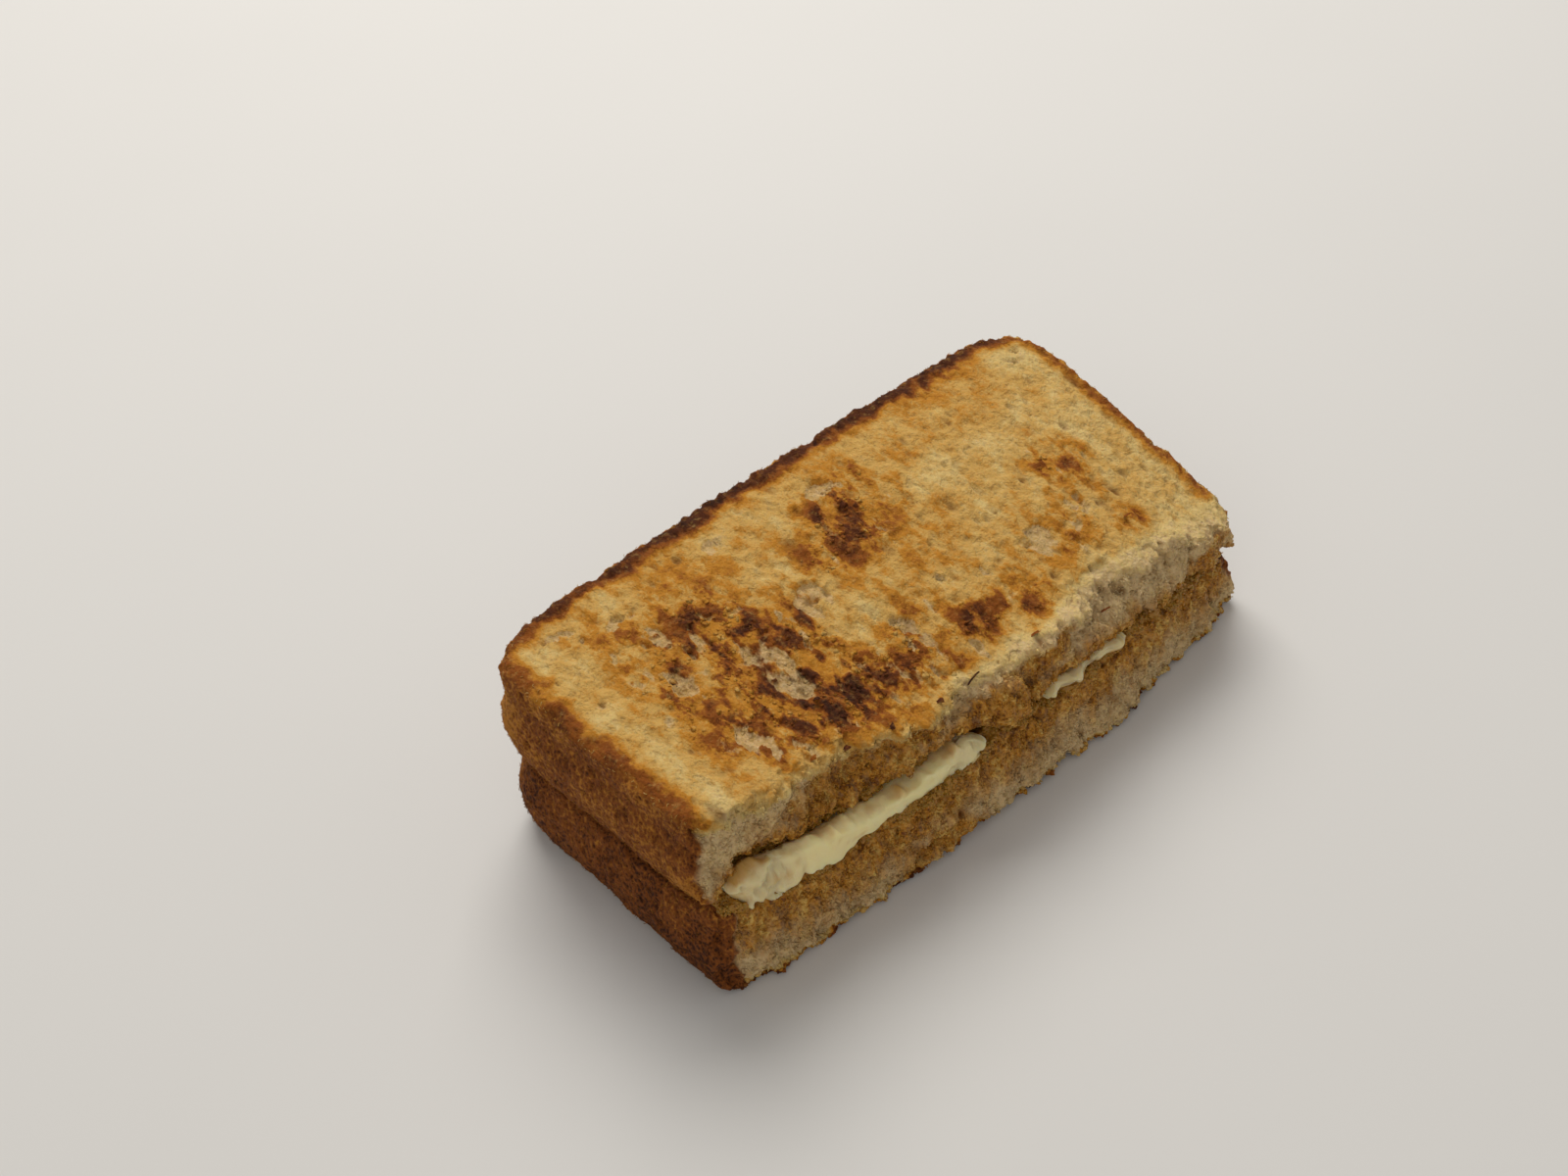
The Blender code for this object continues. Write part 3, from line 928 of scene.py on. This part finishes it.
def ragged_bit(tree):
    """A lump with few faces, knocked out of round."""
    ball = add(tree, "GeometryNodeMeshIcoSphere", None, {"Radius": 1.0, "Subdivisions": 1})
    wander = add(tree, "ShaderNodeTexNoise", None, {"Scale": 1.3, "Detail": 1.0})
    centred = {0: wander.outputs["Color"], 1: (0.5, 0.5, 0.5)}
    centred = add(tree, "ShaderNodeVectorMath", {"operation": "SUBTRACT"}, centred)
    knocked = {0: centred.outputs[0], "Scale": 1.7}
    knocked = add(tree, "ShaderNodeVectorMath", {"operation": "SCALE"}, knocked)
    inputs = {"Geometry": ball.outputs["Mesh"], "Offset": knocked.outputs[0]}
    return add(tree, "GeometryNodeSetPosition", None, inputs).outputs[0]


def curled_fibre(tree):
    """A thin arch with three sides, thickest at its foot."""
    bend = {"Start": (-0.6, 0.0, -0.2), "Middle": (0.1, 0.25, 1.0), "End": (0.6, -0.1, 0.15)}
    arch = add(tree, "GeometryNodeCurveQuadraticBezier", None, {"Resolution": 4, **bend})
    along = add(tree, "GeometryNodeSplineParameter")
    taper = {"Value": along.outputs["Factor"], "To Min": 1.0, "To Max": 0.35}
    taper = add(tree, "ShaderNodeMapRange", None, taper)
    inputs = {"Curve": arch.outputs[0], "Radius": taper.outputs[0]}
    tapered = add(tree, "GeometryNodeSetCurveRadius", None, inputs)
    section = add(tree, "GeometryNodeCurvePrimitiveCircle", None, {"Resolution": 3, "Radius": 0.13})
    inputs = {"Curve": tapered.outputs[0], "Profile Curve": section.outputs["Curve"], "Fill Caps": True}
    return add(tree, "GeometryNodeCurveToMesh", None, inputs).outputs[0]


# What a scatter tree is given: name, kind of socket and what it is unless the user says otherwise
SCATTER_INPUTS = (
    ("Surface", "NodeSocketGeometry", None),
    ("Where", "NodeSocketString", "torn"),
    ("Bits per square metre", "NodeSocketFloat", 1e6),
    ("Smallest", "NodeSocketFloat", 0.3 * MM),
    ("Largest", "NodeSocketFloat", 0.7 * MM),
    ("Thickness", "NodeSocketFloat", 0.6),
    ("Tumble", "NodeSocketFloat", 1.0),
    ("Browner", "NodeSocketFloat", 0.0),
    ("Seed", "NodeSocketInt", 1),
    ("Material", "NodeSocketMaterial", None),
)


def scatter_tree(name, bit_shape):
    """A tree that stands uneven bits on a surface where a stored number is high."""
    tree = bpy.data.node_groups.new(name, "GeometryNodeTree")
    tree.is_modifier = True
    for label, kind, default in SCATTER_INPUTS:
        socket = tree.interface.new_socket(label, in_out="INPUT", socket_type=kind)
        if default is not None:
            socket.default_value = default
    tree.interface.new_socket("Bits", in_out="OUTPUT", socket_type="NodeSocketGeometry")
    given = add(tree, "NodeGroupInput").outputs
    seed = given["Seed"]
    number = {"data_type": "FLOAT"}
    rows = {"data_type": "FLOAT_VECTOR"}
    times = {"operation": "MULTIPLY"}

    chance = add(tree, "GeometryNodeInputNamedAttribute", number, {"Name": given["Where"]})
    density = {0: chance.outputs["Attribute"], 1: given["Bits per square metre"]}
    density = add(tree, "ShaderNodeMath", times, density).outputs[0]
    inputs = {"Mesh": given["Surface"], "Density": density, "Seed": seed}
    places = add(tree, "GeometryNodeDistributePointsOnFaces", None, inputs)

    # the bits get no painted pore shade, and take the browning and the crust tone, with its painted
    # shade, of the place they stand on, shifted by Browner
    on_point = {"data_type": "FLOAT", "domain": "POINT"}
    inputs = {"Geometry": places.outputs["Points"], "Name": "hollow", "Value": 0.0}
    points = add(tree, "GeometryNodeStoreNamedAttribute", on_point, inputs).outputs[0]
    shift = {2: 0.0, 3: given["Browner"], "Seed": seed}
    shift = add(tree, "FunctionNodeRandomValue", number, shift).outputs[1]
    for label in ("browning", "baked"):
        stored = add(tree, "GeometryNodeInputNamedAttribute", number, {"Name": label})
        shifted = {0: stored.outputs["Attribute"], 1: shift}
        shifted = add(tree, "ShaderNodeMath", {"operation": "ADD"}, shifted).outputs[0]
        inputs = {"Geometry": points, "Name": label, "Value": shifted}
        points = add(tree, "GeometryNodeStoreNamedAttribute", on_point, inputs).outputs[0]

    size = {2: given["Smallest"], 3: given["Largest"], "Seed": seed}
    size = add(tree, "FunctionNodeRandomValue", number, size).outputs[1]
    uneven = add(tree, "FunctionNodeRandomValue", rows, {0: (0.6,) * 3, 1: (1.2,) * 3, "Seed": seed})
    flat = add(tree, "ShaderNodeCombineXYZ", None, {"X": 1.0, "Y": 1.0, "Z": given["Thickness"]})
    flatter = add(tree, "ShaderNodeVectorMath", times, {0: uneven.outputs[0], 1: flat.outputs[0]})
    sized = {0: flatter.outputs[0], "Scale": size}
    sized = add(tree, "ShaderNodeVectorMath", {"operation": "SCALE"}, sized).outputs[0]

    lean = add(tree, "ShaderNodeMath", times, {0: given["Tumble"], 1: math.pi}).outputs[0]
    furthest = add(tree, "ShaderNodeCombineXYZ", None, {"X": lean, "Y": lean, "Z": math.pi})
    either_way = add(tree, "FunctionNodeRandomValue", rows, {0: (-1,) * 3, 1: (1,) * 3, "Seed": seed})
    turn = add(tree, "ShaderNodeVectorMath", times, {0: either_way.outputs[0], 1: furthest.outputs[0]})
    inputs = {"Rotation": places.outputs["Rotation"], "Rotate By": turn.outputs[0]}
    turned = add(tree, "FunctionNodeRotateRotation", {"rotation_space": "LOCAL"}, inputs).outputs[0]

    inputs = {"Points": points, "Instance": bit_shape(tree), "Rotation": turned, "Scale": sized}
    placed = add(tree, "GeometryNodeInstanceOnPoints", None, inputs)
    real = add(tree, "GeometryNodeRealizeInstances", None, {"Geometry": placed.outputs["Instances"]})
    inputs = {"Geometry": real.outputs["Geometry"], "Material": given["Material"]}
    painted = add(tree, "GeometryNodeSetMaterial", None, inputs)
    add(tree, "NodeGroupOutput", None, {"Bits": painted.outputs["Geometry"]})
    return tree


def scattered(name, tree, host, settings):
    """Runs the tree over a host piece and keeps the bits, above the table, as a plain mesh."""
    material = host.data.materials[0]
    made = new_object(name, host.data.copy())
    grow = made.modifiers.new("Scatter", "NODES")
    grow.node_group = tree
    settings = {**settings, "Material": material}
    for item in tree.interface.items_tree:
        if item.in_out == "INPUT" and item.name in settings:
            grow[item.identifier] = settings[item.name]
    mesh = applied(made).data
    points = points_of(mesh)
    points[:, 2] = points[:, 2].clip(0)
    move_points(mesh, points)
    finish_piece(made, (), material)
    return made


# What clings to the pieces. For each: its name, its shape, the piece it is on, the stored number that
# says where, how many to a square metre, smallest and largest in mm, thickness, how far they tumble,
# how much browner than the piece, and the seed.
CLINGING = (
    ("lower_bread_crumbs", "crumb", "lower_bread", "torn", 1.7e6, 0.14, 0.46, 0.7, 1.0, 0.0, 11),
    ("lower_bread_crumb_fibres", "fibre", "lower_bread", "torn", 1.5e6, 0.35, 0.95, 0.8, 0.45, 0.0, 51),
    ("lower_bread_fibres", "fibre", "lower_bread", "skin", 1.7e6, 0.22, 0.58, 0.6, 0.4, -0.4, 21),
    ("upper_bread_crumbs", "crumb", "upper_bread", "torn", 1.7e6, 0.14, 0.46, 0.7, 1.0, 0.0, 12),
    ("upper_bread_crumb_fibres", "fibre", "upper_bread", "torn", 1.5e6, 0.35, 0.95, 0.8, 0.45, 0.0, 52),
    ("upper_bread_fibres", "fibre", "upper_bread", "skin", 1.7e6, 0.22, 0.58, 0.6, 0.4, -0.4, 22),
    ("foot_crumbs", "crumb", "lower_bread", "foot", 8e6, 0.2, 0.55, 0.8, 1.0, 0.25, 31),
    ("scorched_scales", "crumb", "upper_bread", "scorched", 0.9e6, 0.2, 0.6, 0.25, 0.12, -0.08, 41),
    ("lower_kaya_curds", "crumb", "lower_kaya_spread", "torn", 3e6, 0.2, 0.6, 0.6, 1.0, 0.0, 61),
    ("upper_kaya_curds", "crumb", "upper_kaya_spread", "torn", 3e6, 0.2, 0.6, 0.6, 1.0, 0.0, 62),
)


# Flakes that stand up where the knife tore the toast: nearest place, length, width, lean of the
# tip along x and y, browning. Lengths are in mm.
STANDING_FLAKES = (
    ((-5.8, -28.5, 29), 3.4, 1.7, (0.15, -0.35), 1.05),
    ((23.5, -30, 24), 1.9, 1.3, (0.3, -0.5), 0.7),
    ((-30, -25.5, 30), 1.8, 1.5, (0.2, -0.7), 0.8),
    ((-22, -27, 29), 1.7, 1.4, (-0.2, -0.7), 0.85),
    ((-13, -28, 29), 2.0, 1.2, (0.1, -0.8), 0.8),
    ((-36, -24.5, 31), 1.8, 1.4, (-0.1, -0.7), 0.6),
    ((8, -28, 29), 1.5, 1.2, (0.2, -0.6), 0.6),
    ((40, -21.5, 32), 1.3, 1.2, (0.3, -0.4), 0.65),
    ((4, 10.5, 36), 1.2, 1.1, (-0.4, -0.5), 0.7),
    ((-28, -16.5, 34), 1.4, 1.3, (0.4, -0.5), 0.9),
)


# A flake's outline: how far along it, and its share of the width there
FLAKE_PROFILE = ((0, 0.55), (0.3, 1.0), (0.55, 0.7), (0.75, 0.8), (1, 0.15))
FLAKE_THICK = 0.16  # half of its thickness along its middle, in mm
FLAKE_ROOT = 0.5  # how deep it is rooted, in mm
FLAKE_SIDES = ((-1, 0), (0, FLAKE_THICK), (1, 0), (0, -FLAKE_THICK))


def standing_flakes(name, host, material):
    """Thin torn scales of toast, rooted in the surface of the host."""
    surface = BVHTree.FromPolygons(
        [vertex.co for vertex in host.data.vertices], [tuple(f.vertices) for f in host.data.polygons]
    )
    leaves = bmesh.new()
    brown = leaves.verts.layers.float.new("browning")
    for number, (place, length, width, lean, browning) in enumerate(STANDING_FLAKES):
        root = surface.find_nearest(Vector(place) * MM)[0]
        up = Vector((*lean, 1)).normalized()
        across = up.cross(Vector((0.35, -0.9, 0.1))).normalized()
        out = across.cross(up)
        rings = []
        for step, (way, share) in enumerate(FLAKE_PROFILE):
            middle = root / MM + up * (way * length - FLAKE_ROOT) + out * (0.5 * way * way)
            crook = 0.25 * math.sin(5 * step + number)
            ring = []
            for side, thick in FLAKE_SIDES:
                spot = middle + across * (side * share * width / 2 + crook) + out * thick
                vertex = leaves.verts.new(spot * MM)
                vertex[brown] = browning
                ring.append(vertex)
            rings.append(ring)
        for lower, upper in itertools.pairwise(rings):
            for side in range(4):
                after = (side + 1) % 4
                leaves.faces.new((lower[side], lower[after], upper[after], upper[side]))
        leaves.faces.new(reversed(rings[0]))
        leaves.faces.new(rings[-1])
    bmesh.ops.recalc_face_normals(leaves, faces=leaves.faces)
    mesh = bpy.data.meshes.new(name)
    leaves.to_mesh(mesh)
    leaves.free()
    made = new_object(name, mesh)
    finish_piece(made, (), material, smooth=False)
    return made


# Settings that a user would change


def shade(name, description, code):
    """A colour setting, from its sRGB hex value."""
    return bpy.props.FloatVectorProperty(
        name=name, description=description, subtype="COLOR", min=0, max=1, default=linear(code)
    )


def length(name, description, millimetres):
    """A length setting."""
    return bpy.props.FloatProperty(
        name=name, description=description, unit="LENGTH", min=0, precision=5, default=millimetres * MM
    )


def angle(name, description, degrees):
    """An angle setting."""
    return bpy.props.FloatProperty(
        name=name, description=description, subtype="ANGLE", default=math.radians(degrees)
    )


class BreadLook(bpy.types.PropertyGroup):
    """Sizes and colours of the two slices"""

    upper_voxel: length("Upper grain", "Face size of the upper slice before refining", 0.83)
    lower_voxel: length("Lower grain", "Face size of the lower slice before refining", 0.92)
    soak_reach: length("Soaked depth", "How far kaya and butter soak into the crumb", 8.0)
    crumb: shade("Crumb", "Untoasted crumb", "#DDBE8C")
    pit_shade: shade("Pit", "Torn crumb on the toasted face", "#B8985C")
    toast_pale: shade("Pale toast", "Lightly toasted face", "#DBBC78")
    toast_gold: shade("Golden toast", "Evenly toasted face", "#D0A458")
    toast_orange: shade("Orange toast", "Well toasted face", "#BF8026")
    toast_brown: shade("Brown toast", "Face browned in patches", "#8C4C12")
    toast_dark: shade("Dark toast", "Nearly scorched face", "#532608")
    toast_burnt: shade("Burnt toast", "Scorched tips", "#381B09")
    crust_gold: shade("Golden crust", "Lightest skin of the loaf", "#B9792C")
    crust_brown: shade("Brown crust", "Skin of the loaf", "#864A1A")
    crust_dark: shade("Dark crust", "Darkest skin of the loaf", "#421F0C")
    soaked_light: shade("Soaked crumb", "Crumb wet with kaya and butter", "#C4852C")
    soaked_dark: shade("Dark soaked crumb", "Crumb full of kaya", "#7E4712")
    soaked_pale: shade("Pale soaked crumb", "Tips of crumb touched by butter", "#E6BC66")
    # painted shade: the tint that pore floors are multiplied by
    pore_shade: shade("Pore shade", "How much darker a pore's floor is", "#A58E74")


class FillingLook(bpy.types.PropertyGroup):
    """Colours of the kaya and the butter"""

    butter: shade("Butter", "Cold butter", "#FCEDB6")
    butter_deep: shade("Deep butter", "Butter in its folds", "#F4DC98")
    butter_melted: shade("Melted butter", "Softened, clearing butter", "#D6C496")
    kaya: shade("Kaya", "The jam where light passes through it", "#C08C30")
    kaya_dark: shade("Dark kaya", "The jam where it is thick", "#8A5A18")


class StageLook(bpy.types.PropertyGroup):
    """The floor, the light and the camera"""

    floor: shade("Floor", "Colour of the floor", "#DAD7D2")
    azimuth: angle("Azimuth", "Where the camera looks from", -37.3)
    elevation: angle("Elevation", "Height of the camera's view", 41.9)
    roll: angle("Roll", "Tilt of the camera", -6.7)
    lens: bpy.props.FloatProperty(
        name="Lens", description="Focal length", subtype="DISTANCE_CAMERA", default=48.0
    )
    key: bpy.props.FloatProperty(
        name="Key light", description="Power of the main light", subtype="POWER", default=9.0
    )


# Operators


class TOAST_OT_bread(bpy.types.Operator):
    """Dress both slices of toasted bread"""

    bl_idname = "toast.bread"
    bl_label = "Bread"

    def execute(self, context):
        look = context.scene.toast_bread
        material = bread_material(look)
        dress_slice("lower_bread", "lower_slice", False, look, material)
        dress_slice("upper_bread", "upper_slice", True, look, material)
        return {"FINISHED"}


class TOAST_OT_kaya(bpy.types.Operator):
    """Dress both spreads of kaya"""

    bl_idname = "toast.kaya"
    bl_label = "Kaya"

    def execute(self, context):
        look = context.scene.toast_filling
        material = kaya_material(look)
        dress_kaya("lower_kaya_spread", "lower_kaya", material, 1101)
        dress_kaya("upper_kaya_spread", "upper_kaya", material, 1151)
        return {"FINISHED"}


class TOAST_OT_butter(bpy.types.Operator):
    """Dress both slabs of butter"""

    bl_idname = "toast.butter"
    bl_label = "Butter"

    def execute(self, context):
        look = context.scene.toast_filling
        material = butter_material(look)
        left_end = place_of("butter_long")[0][0]
        dress_butter("butter_long_slab", "butter_long", material, 1201, left_end)
        dress_butter("butter_short_slab", "butter_short", material, 1251, None)
        return {"FINISHED"}


class TOAST_OT_crumbs(bpy.types.Operator):
    """Scatter the crumbs and flakes that cling to the bread"""

    bl_idname = "toast.crumbs"
    bl_label = "Crumbs"

    def execute(self, context):
        trees = {
            "crumb": scatter_tree("Scatter crumbs", ragged_bit),
            "fibre": scatter_tree("Scatter fibres", curled_fibre),
        }
        for name, shape, host, where, count, smallest, largest, *rest in CLINGING:
            thickness, tumble, browner, seed = rest
            settings = {
                "Where": where,
                "Bits per square metre": count,
                "Smallest": smallest * MM,
                "Largest": largest * MM,
                "Thickness": thickness,
                "Tumble": tumble,
                "Browner": browner,
                "Seed": seed,
            }
            scattered(name, trees[shape], bpy.data.objects[host], settings)
        upper = bpy.data.objects["upper_bread"]
        standing_flakes("standing_flakes", upper, upper.data.materials[0])
        return {"FINISHED"}


class TOAST_OT_stage(bpy.types.Operator):
    """Set the floor, the soft lights and the camera"""

    bl_idname = "toast.stage"
    bl_label = "Stage"

    def execute(self, context):
        look = context.scene.toast_stage
        make_floor(look)
        make_lights(look)
        make_camera(look)
        context.scene.view_settings.view_transform = "Standard"
        return {"FINISHED"}


FLOOR_REACH = 3.0  # metres from its middle to its edges
FILL_SHARE = 0.22  # the weak light's power against the main one's
SENSOR = 36.0  # mm

# The point that the camera looks at, in mm, and its distance from there
AIM = (-3.0, 20.2, 15.8)
CAMERA_DISTANCE = 361.2


def make_floor(look):
    floor = bmesh.new()
    bmesh.ops.create_grid(floor, x_segments=1, y_segments=1, size=FLOOR_REACH)
    mesh = bpy.data.meshes.new("floor")
    floor.to_mesh(mesh)
    floor.free()
    made = new_object("floor", mesh)
    mesh.materials.append(floor_material(look))


def make_lights(look):
    """A broad soft light high behind the sandwich on the right, and a weak one in front."""
    for name, place, size, power, tint in (
        ("key", (0.35, 0.55, 0.85), 0.7, look.key, (1.0, 0.98, 0.95)),
        ("fill", (-0.9, -0.7, 0.7), 0.9, look.key * FILL_SHARE, (1.0, 0.99, 0.98)),
    ):
        light = bpy.data.lights.new(name, "AREA")
        light.size = size
        light.energy = power
        light.color = tint
        made = bpy.data.objects.new(name, light)
        made.location = place
        made.rotation_euler = Vector(place).to_track_quat("Z", "Y").to_euler()
        bpy.context.scene.collection.objects.link(made)
    world = bpy.data.worlds.new("soft_room")
    world.use_nodes = True
    background = world.node_tree.nodes["Background"]
    background.inputs["Color"].default_value = (1.0, 0.99, 0.97, 1.0)
    background.inputs["Strength"].default_value = 0.35
    bpy.context.scene.world = world


def make_camera(look):
    """The camera stands off the aim by azimuth and elevation, then rolls about its own axis."""
    camera = bpy.data.cameras.new("camera")
    camera.lens = look.lens
    camera.sensor_width = SENSOR
    camera.clip_start = 0.01
    made = bpy.data.objects.new("camera", camera)
    flat = math.cos(look.elevation)
    sine, cosine = math.sin(look.azimuth), math.cos(look.azimuth)
    back = Vector((sine * flat, -cosine * flat, math.sin(look.elevation)))
    right = Vector((cosine, sine, 0))
    up = back.cross(right)
    turned = Matrix((right, up, back)).transposed() @ Matrix.Rotation(look.roll, 3, "Z")
    made.location = (Vector(AIM) + back * CAMERA_DISTANCE) * MM
    made.rotation_euler = turned.to_euler()
    bpy.context.scene.collection.objects.link(made)
    bpy.context.scene.camera = made


class TOAST_PT_panel(bpy.types.Panel):
    """Lists the pieces of the toast"""

    bl_idname = "TOAST_PT_panel"
    bl_label = "Kaya Toast"
    bl_space_type = "VIEW_3D"
    bl_region_type = "UI"
    bl_category = "Kaya Toast"

    def draw(self, context):
        for operator in OPERATORS:
            self.layout.operator(operator.bl_idname)


OPERATORS = (TOAST_OT_bread, TOAST_OT_kaya, TOAST_OT_butter, TOAST_OT_crumbs, TOAST_OT_stage)
GROUPS = {"toast_bread": BreadLook, "toast_filling": FillingLook, "toast_stage": StageLook}


def register():
    for kind in (*GROUPS.values(), *OPERATORS, TOAST_PT_panel):
        bpy.utils.register_class(kind)
    for name, group in GROUPS.items():
        setattr(bpy.types.Scene, name, bpy.props.PointerProperty(type=group))


def unregister():
    for name in GROUPS:
        delattr(bpy.types.Scene, name)
    for kind in (*GROUPS.values(), *OPERATORS, TOAST_PT_panel):
        bpy.utils.unregister_class(kind)


def main():
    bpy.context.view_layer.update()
    register()
    bpy.ops.toast.bread()
    bpy.ops.toast.kaya()
    bpy.ops.toast.butter()
    bpy.ops.toast.crumbs()
    bpy.ops.toast.stage()


if __name__ == "__main__":
    main()
